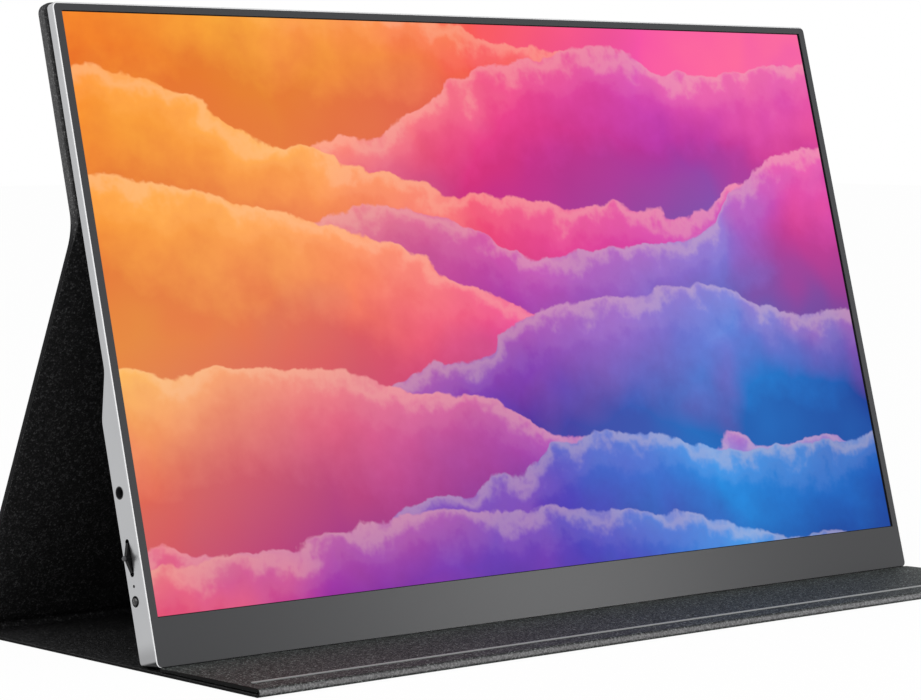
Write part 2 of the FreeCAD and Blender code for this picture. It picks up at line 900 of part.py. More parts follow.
def make_power_button():
    body = new_body("power_button")
    stand = size("button_stand")
    shaft = new_sketch(body, "YZ_Plane", offset=-case_half - stand)
    circle(shaft, button_place, -button_line, size("button_radius"))
    pad(body, shaft, size("button_inset") + stand)
    dress(body, "Chamfer", size("button_chamfer"), lambda edge: flat_at(edge, "X", -case_half - stand))
    flange = new_sketch(body, "YZ_Plane", offset=-case_half + case_wall + size("button_flange_gap"))
    circle(flange, button_place, -button_line, size("button_flange_radius"))
    pad(body, flange, size("button_flange"))
    return body


def make_power_switch():
    left = -case_half + size("button_inset") + size("switch_gap")
    half = size("switch_width") / 2
    depth = size("switch_depth")
    return plate("power_switch", left, left + size("switch_length"), button_place - half, button_place + half,
                 -board_back - depth, depth)


# Right side

def make_data_socket(label, place):
    body = new_body(label)
    mouth = case_half - size("socket_recess")
    wall = size("data_wall")
    width, depth = size("data_width"), size("data_depth")
    shell = new_sketch(body, "YZ_Plane", offset=mouth - size("data_length"))
    slot(shell, place, -data_line, width, depth)
    pad(body, shell, size("data_length"))
    hollow = new_sketch(body, "YZ_Plane", offset=mouth)
    slot(hollow, place, -data_line, width - wall * 2, depth - wall * 2)
    pocket(body, hollow, size("data_cavity"))
    tongue = new_sketch(body, "YZ_Plane", offset=mouth - size("data_cavity"))
    half, reach = size("data_tongue_width") / 2, size("data_tongue_depth") / 2
    rectangle(tongue, place - half, place + half, -data_line - reach, -data_line + reach)
    pad(body, tongue, size("data_cavity") - size("socket_recess") * 2)
    return body


def make_picture_socket():
    body = new_body("picture_socket")
    mouth = case_half - size("socket_recess")
    wall = size("data_wall")
    shell = new_sketch(body, "YZ_Plane", offset=mouth - size("data_length"))
    polygon(shell, picture_outline(ZERO))
    pad(body, shell, size("data_length"))
    hollow = new_sketch(body, "YZ_Plane", offset=mouth)
    polygon(hollow, picture_outline(-wall))
    pocket(body, hollow, size("data_cavity"))
    tongue = new_sketch(body, "YZ_Plane", offset=mouth - size("data_cavity"))
    half, reach = size("data_tongue_width") / 2, size("data_tongue_depth") / 2
    rectangle(tongue, picture_place - half, picture_place + half, -picture_line - reach, -picture_line + reach)
    pad(body, tongue, size("data_cavity") - size("socket_recess") * 2)
    return body


# Folio cover

cover_half = case_half - size("cover_inset")
cover_width = cover_half * 2
hem = size("hem")


def make_panel(name, low, high, skin, board, lining, rim, edge_round, inset=ZERO, corner=None, free_end=None):
    """One stiff panel of the cover: a skin turned up round its edges, a board and a lining in it."""
    tray = plate(f"{name}_skin", -cover_half, cover_half, low, high, ZERO, rim)

    def at_free_edge(edge):
        hinged = [end for end in (low, high) if end is not free_end]
        return flat_at(edge, "Z", ZERO) and not any(flat_at(edge, "Y", end) for end in hinged)

    if corner:
        dress(tray, "Fillet", corner, upright_at("y", free_end))
    dress(tray, "Fillet", edge_round, at_free_edge)
    box_cut(tray, -cover_half + hem, cover_half - hem, low + hem, high - hem, skin, rim)
    edges = (-cover_half + hem + fit, cover_half - hem - fit, low + hem + fit, high - hem - fit)
    core = plate(f"{name}_board", *edges, skin, board)
    left, right, bottom, top = edges
    face_edges = (left + inset, right - inset, bottom + inset, top - inset)
    face = plate(f"{name}_lining", *face_edges, skin + board, lining)
    return [tray, core, face]


upper_depth = thin_depth + size("upper_lining") + size("upper_board") + size("upper_skin")
crease_place = case_height - size("crease_drop")
crease_reach = size("crease_reach")
base_thickness = size("base_skin") + size("base_board") + size("base_lining")
leg_thickness = size("leg_skin") + size("leg_board") + size("leg_lining")
lip_thickness = size("lip_skin") + size("lip_board") + size("lip_lining")
stack_height = base_thickness + size("lip_gap") + lip_thickness
fold_radius = stack_height / 2

# The stand's triangle, seen from the side: lean of the screen, height of the crease, foot of the leg
tilt = math.radians(size("tilt").value)
up_screen = Vector(0, math.sin(tilt), math.cos(tilt))
into_case = Vector(0, math.cos(tilt), -math.sin(tilt))
foot_slope = math.atan2(foot_rise.value, hump_depth.value)
heel_run = math.hypot(hump_depth.value, foot_rise.value) - size("back_chamfer").value
foot_height = base_thickness + size("foot_gap")
display_height = foot_height.value + heel_run * math.sin(tilt - foot_slope)
crease_from_display = up_screen * crease_place.value + into_case * upper_depth.value
crease_height = display_height + crease_from_display.z
leg_run = size("leg_run").value
leg_angle = math.atan2(crease_height, leg_run)
leg_length = Size(str(math.hypot(crease_height, leg_run)), math.hypot(crease_height, leg_run))
bend_tangent = size("bend_radius") / math.tan(leg_angle / 2)
foot_from_display = crease_from_display.y + leg_run
rear_from_display = foot_from_display - bend_tangent.value + size("bend_radius").value
front_from_display = -(size("lip_to_case") + size("lip_length")).value
display_y = -(rear_from_display + front_from_display) / 2

display_origin = Vector(0, display_y, display_height)
crease_point = display_origin + crease_from_display
foot_point = Vector(0, display_y + foot_from_display, 0)
bend_axis = foot_point + Vector(0, -bend_tangent.value, size("bend_radius").value)
fold_axis = Vector(0, display_y + front_from_display + fold_radius.value, fold_radius.value)

across_x = Vector(1, 0, 0)
display_place = FreeCAD.Placement(display_origin, FreeCAD.Rotation(across_x, 90 - math.degrees(tilt)))
upper_place = FreeCAD.Placement(display_origin + into_case * upper_depth.value, display_place.Rotation)
leg_place = FreeCAD.Placement(foot_point, FreeCAD.Rotation(across_x, 180 - math.degrees(leg_angle)))
base_place = FreeCAD.Placement(Vector(0, fold_axis.y, 0), FreeCAD.Rotation())
lip_place = FreeCAD.Placement(Vector(0, fold_axis.y, stack_height.value), FreeCAD.Rotation(across_x, 180))


def make_upper():
    low, high = crease_place + crease_reach, case_height + size("upper_top_reach")
    rim = upper_depth - thin_depth - size("upper_edge_gap")
    skin, board, lining = size("upper_skin"), size("upper_board"), size("upper_lining")
    pieces = make_panel("upper", low, high, skin, board, lining, rim, size("upper_round"), size("upper_inset"),
                        size("upper_corner"), high)
    board_body = pieces[1]
    half, reach, depth = size("magnet_width") / 2, size("magnet_height") / 2, size("magnet_depth")
    middle = (low + high) / 2
    back = skin + board - depth
    magnets = []
    for side in (-1, 1):
        place = size("magnet_place") * side
        left, right, bottom, top = place - half, place + half, middle - reach, middle + reach
        box_cut(board_body, left, right, bottom, top, back, depth + overrun)
        label = f"magnet_{len(magnets)}"
        magnets.append(plate(label, left + fit, right - fit, bottom + fit, top - fit, back, depth))
    return pieces + [group("cover_magnets", magnets)]


def make_leg():
    low, high = bend_tangent + size("bend_gap"), leg_length - crease_reach
    skin, board, lining = size("leg_skin"), size("leg_board"), size("leg_lining")
    return make_panel("leg", low, high, skin, board, lining, leg_thickness, size("edge_round"))


def make_base():
    depth = Size(str(bend_axis.y - fold_axis.y), bend_axis.y - fold_axis.y)
    return make_panel("base", size("lip_end_gap"), depth - size("bend_gap"), size("base_skin"),
                      size("base_board"), size("base_lining"), base_thickness, size("edge_round"))


def make_lip():
    low = -(size("lip_length") - fold_radius)
    high = -size("lip_end_gap")
    pieces = make_panel("lip", low, high, size("lip_skin"), size("lip_board"), size("lip_lining"),
                        lip_thickness, size("edge_round"), ZERO, size("lip_corner"), low)
    bead = new_sketch(pieces[0], "YZ_Plane")
    circle(bead, -size("bead_place"), ZERO, size("bead_radius"))
    pad(pieces[0], bead, cover_width - size("bead_inset") * 2, both=True)
    return pieces


def make_ring_crease(label, radius, skin, degrees, place):
    """A crease bent round its own axis: part of a ring, as long as the cover is wide."""
    outer = doc.addObject("Part::Cylinder", f"{label}_outer")
    inner = doc.addObject("Part::Cylinder", f"{label}_inner")
    for ring, reach in ((outer, radius), (inner, radius - skin)):
        ring.setExpression("Radius", reach.text)
        ring.setExpression("Height", cover_width.text)
    outer.Angle = degrees
    crease = doc.addObject("Part::Cut", label)
    crease.Label = label
    crease.Base = outer
    crease.Tool = inner
    doc.recompute()
    crease.Placement = place
    return crease


def make_upper_crease():
    """The crease behind the screen: a strip of skin bent along an arc from the upper panel to the leg."""
    reach, skin = crease_reach.value, size("crease_skin").value
    down_leg = Vector(0, math.cos(leg_angle), -math.sin(leg_angle))
    inner_leg = Vector(0, -math.sin(leg_angle), -math.cos(leg_angle))
    half_opening = up_screen.getAngle(down_leg) / 2
    outwards = (up_screen + down_leg).normalize()
    arc_middle = reach / math.cos(half_opening) - reach * math.tan(half_opening)
    faces = []
    for depth in (0, skin):
        start = up_screen * reach - into_case * depth
        end = down_leg * reach + inner_leg * depth
        faces.append((start, outwards * (arc_middle - depth), end))
    arcs = [Part.Arc(*points).toShape() for points in faces]
    ends = [Part.makeLine(faces[0][side], faces[1][side]) for side in (0, 2)]
    outline = Part.Wire(Part.__sortEdges__(arcs + ends))
    crease = doc.addObject("Part::Feature", "upper_crease")
    crease.Label = "upper_crease"
    crease.Shape = Part.Face(outline).extrude(across_x * cover_width.value)
    crease.Placement = FreeCAD.Placement(crease_point - across_x * cover_half.value, FreeCAD.Rotation())
    return crease


display_nodes = [make_back_shell(), make_front_bezel(), make_panel_frame(), make_panel_tape(), make_light_bar()]
display_nodes += make_panel_layers()
display_nodes += [make_driver_board(), group("driver_tabs", make_driver_tabs())]
display_nodes += [make_main_board(), make_board_shield(), make_key_board(), make_board_screws()]
display_nodes += make_cables()
display_nodes += [make_speaker("speaker_left", -1), make_speaker("speaker_right", 1)]
display_nodes += [make_headphone_jack(), make_jog_lever(), make_jog_carrier(), make_jog_switch()]
display_nodes += [make_light_pipe(), make_power_button(), make_power_switch(), make_picture_socket()]
display_nodes += [make_data_socket(f"data_socket_{name}", place) for name, place in data_places.items()]
upper_nodes, leg_nodes, base_nodes, lip_nodes = make_upper(), make_leg(), make_base(), make_lip()

front_side = FreeCAD.Rotation(Vector(0, 0, 1), Vector(0, -1, 0), across_x)
rear_side = FreeCAD.Rotation(Vector(0, 0, -1), Vector(0, 1, 0), across_x)
left_end = across_x * -cover_half.value
creases = [
    make_upper_crease(),
    make_ring_crease("rear_crease", size("bend_radius"), size("bend_skin"), 180 - math.degrees(leg_angle),
                     FreeCAD.Placement(bend_axis + left_end, rear_side)),
    make_ring_crease("front_fold", fold_radius, size("lip_skin"), 180,
                     FreeCAD.Placement(fold_axis + left_end, front_side)),
]

placed = [
    (display_nodes, display_place),
    (upper_nodes, upper_place),
    (leg_nodes, leg_place),
    (base_nodes, base_place),
    (lip_nodes, lip_place),
]
for nodes, place in placed:
    for node in nodes:
        node.Placement = place
doc.recompute()

# Checks and files
failed = [item.Name for item in doc.Objects if "Invalid" in item.State or "Error" in item.State]
if failed:
    raise RuntimeError(f"not built: {failed}")
nodes = [node for members, place in placed for node in members] + creases
for node in nodes:
    if node.Shape.isNull() or not node.Shape.isValid():
        raise RuntimeError(f"bad shape: {node.Label}")
os.makedirs("parts", exist_ok=True)
for node in nodes:
    node.Shape.exportStep(f"parts/{node.Label}.step")
print(len(nodes), "nodes")
print("leg angle", round(math.degrees(leg_angle), 3))
joint_points = {"display": display_origin, "crease": crease_point, "bend": bend_axis, "fold": fold_axis}
for name, point in joint_points.items():
    print(name, [round(value, 3) for value in point])
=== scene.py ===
import json
import math

import bmesh
import bpy
from mathutils import Matrix, Vector


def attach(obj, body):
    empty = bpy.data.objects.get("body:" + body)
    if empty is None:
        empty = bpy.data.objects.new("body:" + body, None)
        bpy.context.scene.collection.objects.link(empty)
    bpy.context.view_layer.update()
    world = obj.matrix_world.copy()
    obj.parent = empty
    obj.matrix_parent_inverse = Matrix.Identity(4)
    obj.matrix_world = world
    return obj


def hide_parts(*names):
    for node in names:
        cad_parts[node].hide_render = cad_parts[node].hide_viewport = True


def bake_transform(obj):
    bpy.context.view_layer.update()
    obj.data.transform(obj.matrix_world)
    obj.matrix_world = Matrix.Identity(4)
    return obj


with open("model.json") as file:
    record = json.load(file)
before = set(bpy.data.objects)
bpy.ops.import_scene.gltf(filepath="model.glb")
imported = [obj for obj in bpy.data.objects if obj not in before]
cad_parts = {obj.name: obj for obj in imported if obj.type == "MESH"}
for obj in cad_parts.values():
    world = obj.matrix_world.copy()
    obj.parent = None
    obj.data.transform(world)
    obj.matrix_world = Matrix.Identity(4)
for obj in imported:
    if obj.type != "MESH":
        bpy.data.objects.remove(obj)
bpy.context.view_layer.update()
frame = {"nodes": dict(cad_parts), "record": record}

# Places in the part's frame, in millimetres. The screen leans back by the tilt, and the cover is
# folded in the Y-Z plane.
MM = 0.001
TILT_DEGREES = 15.2
TILT = math.radians(TILT_DEGREES)
CASE_FOOT = Vector((0, -26.746, 1.928))
UP_SCREEN = Vector((0, math.sin(TILT), math.cos(TILT)))
INTO_CASE = Vector((0, math.cos(TILT), -math.sin(TILT)))
CREASE = Vector((0, 18.843, 134.824))
REAR_BEND = Vector((0, 73.926, 3.2))
FRONT_FOLD = Vector((0, -75.751, 1.375))
LEG_DEGREES = 66.006
LEG_ANGLE = math.radians(LEG_DEGREES)
DOWN_LEG = Vector((0, math.cos(LEG_ANGLE), -math.sin(LEG_ANGLE)))

CASE_HALF = 175.7
COVER_HALF = 175.6
RIM_DEPTH = 0.2
LEVER_TIP = 1.9

PICTURE_LOW = 16.05
PICTURE_WIDTH = 344.16
PICTURE_HEIGHT = 193.59
# Shares of the picture's width: where its lit part ends on the right, and how soft its border is
PICTURE_RIGHT = 0.9986
PICTURE_BORDER = 0.0004

# Cover panels: lengths, thicknesses, and the rounding of their long edges
UPPER_TOP = 214.19
UPPER_DEPTH = 9.15
UPPER_THICK = 4.25
UPPER_CORNER = 3.6
UPPER_EDGE = 1.2
CREASE_UP = 140.2
CREASE_TANGENT = 6.0
LEG_THICK = 2.0
LEG_LENGTH = CREASE.z / math.sin(LEG_ANGLE)
MID_LEG = 76.0
SHEET_EDGE = 0.4
BEND_THICK = 0.8
BEND_EDGE = 0.35
BEND_STEPS = 18
BASE_THICK = 0.95
FOLD_THICK = 0.5
FOLD_EDGE = 0.22
FOLD_STEPS = 24
LIP_THICK = 1.25
LIP_TAPER = 0.5
LIP_TAPER_RUN = 30
LIP_END = -26.896
LIP_CORNER = 1.5
TO_FRONT = Vector((0, -1, 0))


# Nodes and their maths

class Shade:
    """One socket's value in a node tree, so that its maths reads as a plain expression."""

    def __init__(self, nodes, socket):
        self.nodes = nodes
        self.socket = socket

    def maths(self, operation, *values):
        return self.nodes.node("ShaderNodeMath", {"operation": operation}, dict(enumerate(values)))

    def __add__(self, other):
        return self.maths("ADD", self, other)

    def __radd__(self, other):
        return self.maths("ADD", other, self)

    def __sub__(self, other):
        return self.maths("SUBTRACT", self, other)

    def __rsub__(self, other):
        return self.maths("SUBTRACT", other, self)

    def __mul__(self, other):
        return self.maths("MULTIPLY", self, other)

    def __rmul__(self, other):
        return self.maths("MULTIPLY", other, self)

    def __truediv__(self, other):
        return self.maths("DIVIDE", self, other)

    def __rtruediv__(self, other):
        return self.maths("DIVIDE", other, self)

    def __pow__(self, other):
        return self.maths("POWER", self, other)

    def sine(self):
        return self.maths("SINE", self)

    def clamped(self):
        return self.nodes.node("ShaderNodeClamp", {}, {"Value": self})

    def least(self, other):
        return self.maths("MINIMUM", self, other)

    def most(self, other):
        return self.maths("MAXIMUM", self, other)

    def above(self, limit, softness):
        """0 below the limit and 1 above it, with a soft step between."""
        settings = {"interpolation_type": "SMOOTHSTEP"}
        return self.nodes.node("ShaderNodeMapRange", settings, {
            "Value": self, "From Min": limit - softness / 2, "From Max": limit + softness / 2,
        })


class Nodes:
    """A node tree whose nodes are added by one method."""

    def __init__(self, tree):
        self.tree = tree
        self.tree.nodes.clear()

    def feed(self, socket, value):
        if isinstance(value, Shade):
            self.tree.links.new(value.socket, socket)
        elif isinstance(value, (int, float)):
            socket.default_value = value
        elif len(value) == 3 and len(socket.default_value) == 4:
            socket.default_value = (*value, 1)
        else:
            socket.default_value = value

    def node(self, kind, settings, inputs, output=0):
        """Adds a node: its type, its settings, then the values or links of its sockets."""
        node = self.tree.nodes.new(kind)
        for name, value in settings.items():
            if name == "stops":
                stops = node.color_ramp.elements
                for stop, (place, colour) in zip(stops, (value[0], value[-1])):
                    stop.position, stop.color = place, (*colour, 1)
                for place, colour in value[1:-1]:
                    stops.new(place).color = (*colour, 1)
            else:
                setattr(node, name, value)
        for name, value in inputs.items():
            self.feed(node.inputs[name], value)
        return Shade(self, node.outputs[output]) if node.outputs else None


class Paint(Nodes):
    """A material with one surface shader."""

    def __init__(self, name, **constants):
        self.material = bpy.data.materials.new(name)
        self.material.use_nodes = True
        super().__init__(self.material.node_tree)
        surface = self.node("ShaderNodeBsdfPrincipled", {}, {}, "BSDF")
        self.shader = surface.socket.node
        self.node("ShaderNodeOutputMaterial", {}, {"Surface": surface})
        self.coat(**constants)

    def coat(self, **values):
        """Sets or links sockets of the surface shader; an underscore stands for a space."""
        for name, value in values.items():
            self.feed(self.shader.inputs[name.replace("_", " ")], value)

    def place(self):
        """Where a point is in the part's frame, in millimetres."""
        spot = self.node("ShaderNodeTexCoord", {}, {}, "Object")
        inputs = {"Vector": spot, "Scale": (MM, MM, MM)}
        return self.node("ShaderNodeMapping", {"vector_type": "TEXTURE"}, inputs)

    def screen_place(self):
        """Where a point is on the display, in millimetres: across, up the screen, out of the screen."""
        spot = self.node("ShaderNodeTexCoord", {}, {}, "Object")
        turned = (math.radians(90) - TILT, 0, 0)
        inputs = {"Vector": spot, "Location": CASE_FOOT * MM, "Rotation": turned, "Scale": (MM, MM, MM)}
        return self.node("ShaderNodeMapping", {"vector_type": "TEXTURE"}, inputs)

    def part_of(self, vector, axis):
        return self.node("ShaderNodeSeparateXYZ", {}, {"Vector": vector}, axis)

    def noise(self, vector, scale, detail=2, roughness=0.5):
        inputs = {"Vector": vector, "Scale": scale, "Detail": detail, "Roughness": roughness}
        return self.node("ShaderNodeTexNoise", {}, inputs)

    def mix(self, share, one, other, blend="MIX"):
        """Mixes two colours. The node's sockets share their names, so they go by number."""
        factor, first, second, result = 0, 6, 7, 2
        settings = {"data_type": "RGBA", "blend_type": blend}
        return self.node("ShaderNodeMix", settings, {factor: share, first: one, second: other}, result)

    def bump(self, height, depth, strength=1.0):
        """A surface that rises by up to the depth, in millimetres."""
        inputs = {"Height": height, "Distance": depth * MM, "Strength": strength}
        self.coat(Normal=self.node("ShaderNodeBump", {}, inputs))


# Finishes

def blasted_aluminium():
    """Blasted walls, a polished front edge, and painted shade on the foot except round its corners."""
    foot_height, underside_height, corner_inset = 6.5, 2.3, 1.7
    paint = Paint("blasted_aluminium")
    spot = paint.screen_place()
    side, up, out = [paint.part_of(spot, axis) for axis in "XYZ"]
    satin = (out * -1).above(RIM_DEPTH, 0.04)
    grit = paint.noise(spot, 9, 3, 0.7)
    cloud = paint.noise(spot, 0.03, 2)
    tone = paint.mix(cloud, (0.44, 0.445, 0.455), (0.49, 0.495, 0.505))
    tone = paint.mix(grit * 0.25, tone, (0.36, 0.365, 0.375))
    tone = paint.mix(satin, (0.88, 0.88, 0.89), tone)
    # Painted shade: the walls darken towards the foot
    tone = paint.mix((1 - up.above(foot_height, 6)) * satin * 0.75, tone, (0.28, 0.28, 0.285))
    # Painted shade: the underside goes near black, except round the side's corners
    corner = (side * side).above((CASE_HALF - corner_inset) ** 2, 350)
    shaded = (1 - up.above(underside_height, 0.8)) * (1 - (1 - satin) * corner)
    paint.coat(Base_Color=paint.mix(shaded, tone, (0.02, 0.02, 0.021)))
    paint.coat(Metallic=0.3 + satin * 0.7)
    paint.coat(Roughness=0.16 + satin * (0.1 + grit * 0.12))
    paint.bump(grit * satin, 0.012, 0.35)
    return paint.material


def bezel_plastic():
    """Dark satin moulding round the picture."""
    paint = Paint("bezel_plastic", Specular_IOR_Level=0.5)
    spot = paint.screen_place()
    grit = paint.noise(spot, 5, 4, 0.65)
    paint.coat(Base_Color=paint.mix(grit, (0.014, 0.015, 0.018), (0.026, 0.027, 0.031)))
    paint.coat(Roughness=0.3 + grit * 0.12)
    paint.bump(grit, 0.02, 0.25)
    return paint.material


# Silk folds of the lit picture, from the top down: height, slope, waves across, the waves' height,
# where they start, shift of colour
FOLDS = (
    (0.97, -0.20, 0.7, 0.05, 0.10, 0.10),
    (0.86, 0.26, 1.1, 0.06, 0.62, -0.16),
    (0.74, -0.22, 0.9, 0.07, 0.33, 0.12),
    (0.62, 0.16, 1.4, 0.07, 0.85, -0.12),
    (0.52, -0.30, 0.8, 0.06, 0.20, 0.16),
    (0.40, 0.20, 1.2, 0.06, 0.55, -0.10),
    (0.28, -0.16, 1.0, 0.06, 0.05, 0.14),
    (0.17, 0.14, 1.5, 0.05, 0.40, -0.08),
    (0.07, -0.08, 1.1, 0.04, 0.75, 0.10),
)
# Colours of the silk from left to right, along its top, its middle and its foot
SILK = (
    ((0.0, (1.0, 0.30, 0.02)), (0.25, (1.0, 0.44, 0.04)), (0.5, (0.94, 0.10, 0.08)),
     (0.75, (0.92, 0.08, 0.36)), (1.0, (1.0, 0.16, 0.32))),
    ((0.0, (1.0, 0.56, 0.08)), (0.25, (0.98, 0.22, 0.14)), (0.5, (0.84, 0.04, 0.32)),
     (0.75, (0.5, 0.04, 0.52)), (1.0, (0.8, 0.07, 0.44))),
    ((0.0, (0.86, 0.10, 0.16)), (0.25, (0.34, 0.03, 0.42)), (0.5, (0.07, 0.05, 0.52)),
     (0.75, (0.01, 0.28, 0.8)), (1.0, (0.005, 0.1, 0.5))),
)


def lit_picture():
    """A soft folded-silk picture inside the lit area, black glass round it."""
    glass = (0.004, 0.004, 0.005)
    paint = Paint("lit_picture", Base_Color=glass, Emission_Strength=1.0, Specular_IOR_Level=0.06)
    spot = paint.screen_place()
    across = paint.part_of(spot, "X") / PICTURE_WIDTH + 0.5
    up = (paint.part_of(spot, "Y") - PICTURE_LOW) / PICTURE_HEIGHT
    drift = paint.noise(spot, 0.012, 3, 0.55) - 0.5
    ripple = paint.noise(spot, 0.05, 4, 0.6) - 0.5
    top, middle, foot = [
        paint.node("ShaderNodeValToRGB", {"stops": stops}, {"Fac": across + drift * 0.5}) for stops in SILK
    ]

    def silk(level):
        lower = paint.mix((level * 2.2 - 0.35).clamped(), foot, middle)
        return paint.mix((level * 2.2 - 1.2).clamped(), lower, top)

    picture = silk(up + drift)
    for height, slope, waves, swell, start, shift in FOLDS:
        wave = ((across * waves + start) * math.tau + drift * 5).sine()
        below = height + (across - 0.5) * slope + wave * swell + ripple * 0.06 - up
        colour = silk(up + drift * 0.6 + shift)
        pale = paint.mix(0.4, colour, (1.0, 0.74, 0.5))
        glow = 1 - (below * 11 + ripple).clamped()
        thread = (below * 120 + ripple * 16).sine() * 0.5 + 0.5
        fold = paint.mix(glow * glow * (0.35 + thread * 0.45), colour, pale)
        deep = paint.mix(1, colour, (0.72, 0.32, 0.5), "MULTIPLY")
        fold = paint.mix((below * 6 - 0.2 + ripple * 0.8).clamped() * 0.75, fold, deep)
        picture = paint.mix(below.above(0.002, 0.006), picture, fold)
    inside = across.above(0, PICTURE_BORDER) * (1 - across.above(PICTURE_RIGHT, PICTURE_BORDER))
    inside = inside * up.above(0, PICTURE_BORDER) * (1 - up.above(1, PICTURE_BORDER))
    front = paint.part_of(spot, "Z").above(-0.6, 0.02)
    paint.coat(Emission_Color=paint.mix(inside * front, (0, 0, 0), picture))
    paint.coat(Roughness=0.42 + paint.noise(spot, 4, 2) * 0.08)
    return paint.material


def grained_leather(name, low, high, grain, relief, gloss, spread=1):
    """Pressed pebble grain: rounded cells with creases between, and a painted highlight along the front
    fold.

    The spread says how far the cells differ in tone.
    """
    paint = Paint(name, Specular_IOR_Level=gloss)
    spot = paint.place()
    wander = paint.node("ShaderNodeTexNoise", {}, {"Vector": spot, "Scale": 0.5, "Detail": 2}, "Color")
    push = {"Vector": wander, "Scale": grain * 1.4}
    pushed = paint.node("ShaderNodeVectorMath", {"operation": "SCALE"}, push)
    moved = paint.node("ShaderNodeVectorMath", {"operation": "ADD"}, {0: spot, 1: pushed})
    pattern = {"Vector": moved, "Scale": 1 / grain}
    cells = paint.node("ShaderNodeTexVoronoi", {"feature": "DISTANCE_TO_EDGE"}, pattern)
    shades = paint.node("ShaderNodeTexVoronoi", {}, pattern, "Color")
    shade = paint.part_of(shades, "X")
    pebble = (cells * 3.2).clamped()
    pebble = 1 - (1 - pebble) * (1 - pebble)
    tooth = paint.noise(spot, 5 / grain, 3, 0.6)
    tone = paint.mix(pebble * (0.3 + (shade ** 3 - 0.25) * spread) + tooth * 0.05, low, high)
    side, reach, rise = [paint.part_of(spot, axis) for axis in "XYZ"]
    back = (reach - CASE_FOOT.y) * math.cos(TILT) - (rise - CASE_FOOT.z) * math.sin(TILT)
    # The cut ends are dark on the leg; painted light makes them paler on the upper panel, and painted
    # shade darkens them along the outer corner
    end = (side * side).above(COVER_HALF ** 2 - 60, 50)
    tone = paint.mix(end * rise.above(CREASE.z + 10, 20) * 0.15, tone, high)
    tone = paint.mix(end * (1 - rise.above(CREASE.z, 20)) * 0.95, tone, low)
    tone = paint.mix(end * back.above(UPPER_DEPTH - 0.8, 0.7) * 0.7, tone, low)
    # Painted highlight: the upper part of the front fold's roll is made paler, where light catches it
    fold = 1 - reach.above(FRONT_FOLD.y - 0.55, 0.5)
    highlight_low, highlight_high, fade = 0.9, 2.3, 0.7
    fold_highlight = fold * rise.above(highlight_low, fade) * (1 - rise.above(highlight_high, fade))
    paint.coat(Base_Color=paint.mix(fold_highlight * (0.4 + shade * 0.5), tone, (0.28, 0.28, 0.285)))
    paint.coat(Roughness=0.7 - pebble * 0.14 + (tooth - 0.5) * 0.12)
    paint.bump(pebble * (0.6 + shade * 0.4) + tooth * 0.25, relief)
    return paint.material


def fine_plastic(name, low, high, roughness, scale=3, relief=0.015, **constants):
    """Moulded or coated surface with a fine spark-eroded tooth."""
    paint = Paint(name, **constants)
    spot = paint.place()
    grit = paint.noise(spot, scale, 4, 0.6)
    paint.coat(Base_Color=paint.mix(grit, low, high))
    paint.coat(Roughness=roughness - 0.06 + grit * 0.12)
    paint.bump(grit, relief, 0.4)
    return paint.material


def tipped_plastic():
    """Black moulding of the jog lever, with a painted highlight at the tip of its stick."""
    paint = Paint("lever_plastic", Specular_IOR_Level=0.12)
    spot = paint.place()
    grit = paint.noise(spot, 3, 4, 0.6)
    # Painted highlight: the tip of the stick is made paler
    tip_highlight = 1 - paint.part_of(spot, "X").above(-CASE_HALF - LEVER_TIP, 0.5)
    tone = paint.mix(grit, (0.001, 0.001, 0.0012), (0.003, 0.003, 0.0034))
    paint.coat(Base_Color=paint.mix(tip_highlight, tone, (0.075, 0.075, 0.078)))
    paint.coat(Roughness=0.24 + grit * 0.12)
    return paint.material


def plated_steel(name, low, high, roughness, stretch):
    """Rolled sheet: fine lines along one way, a little stain."""
    paint = Paint(name, Metallic=1.0)
    spot = paint.place()
    lines = paint.node("ShaderNodeVectorMath", {"operation": "MULTIPLY"}, {0: spot, 1: stretch})
    grain = paint.noise(lines, 4, 3, 0.6)
    cloud = paint.noise(spot, 0.2, 2)
    paint.coat(Base_Color=paint.mix(grain * 0.7 + cloud * 0.3, low, high))
    paint.coat(Roughness=roughness + (grain - 0.5) * 0.16)
    paint.bump(grain, 0.006, 0.3)
    return paint.material


def circuit_board():
    """Solder mask with its tracks a little paler."""
    paint = Paint("circuit_board", Specular_IOR_Level=0.5)
    spot = paint.screen_place()
    inputs = {"Vector": spot, "Scale": 0.45, "Mortar Size": 0.06, "Brick Width": 0.9, "Row Height": 0.4}
    tracks = paint.node("ShaderNodeTexBrick", {}, inputs, "Fac")
    cloud = paint.noise(spot, 0.5, 3)
    mask = paint.mix(cloud, (0.012, 0.085, 0.035), (0.02, 0.12, 0.05))
    paint.coat(Base_Color=paint.mix(tracks * 0.6, mask, (0.05, 0.22, 0.09)))
    paint.coat(Roughness=0.32 + cloud * 0.1)
    paint.bump(tracks, 0.02, 0.4)
    return paint.material


aluminium = blasted_aluminium()
bezel = bezel_plastic()
picture = lit_picture()
leather = grained_leather("grained_leather", (0.007, 0.007, 0.0075), (0.2, 0.2, 0.202),
                          grain=0.5, relief=0.06, gloss=0.06, spread=0.5)
# The lip's leather is a copy of the cover leather tinted green: painted light that offsets the pink light
# the picture casts on the lip
lip_leather = grained_leather("lip_leather", (0.005, 0.006, 0.0055), (0.24, 0.266, 0.258),
                              grain=0.5, relief=0.05, gloss=0.06)
lining = grained_leather("fine_lining", (0.001, 0.001, 0.0012), (0.078, 0.078, 0.08),
                         grain=0.68, relief=0.08, gloss=0.13, spread=0.8)
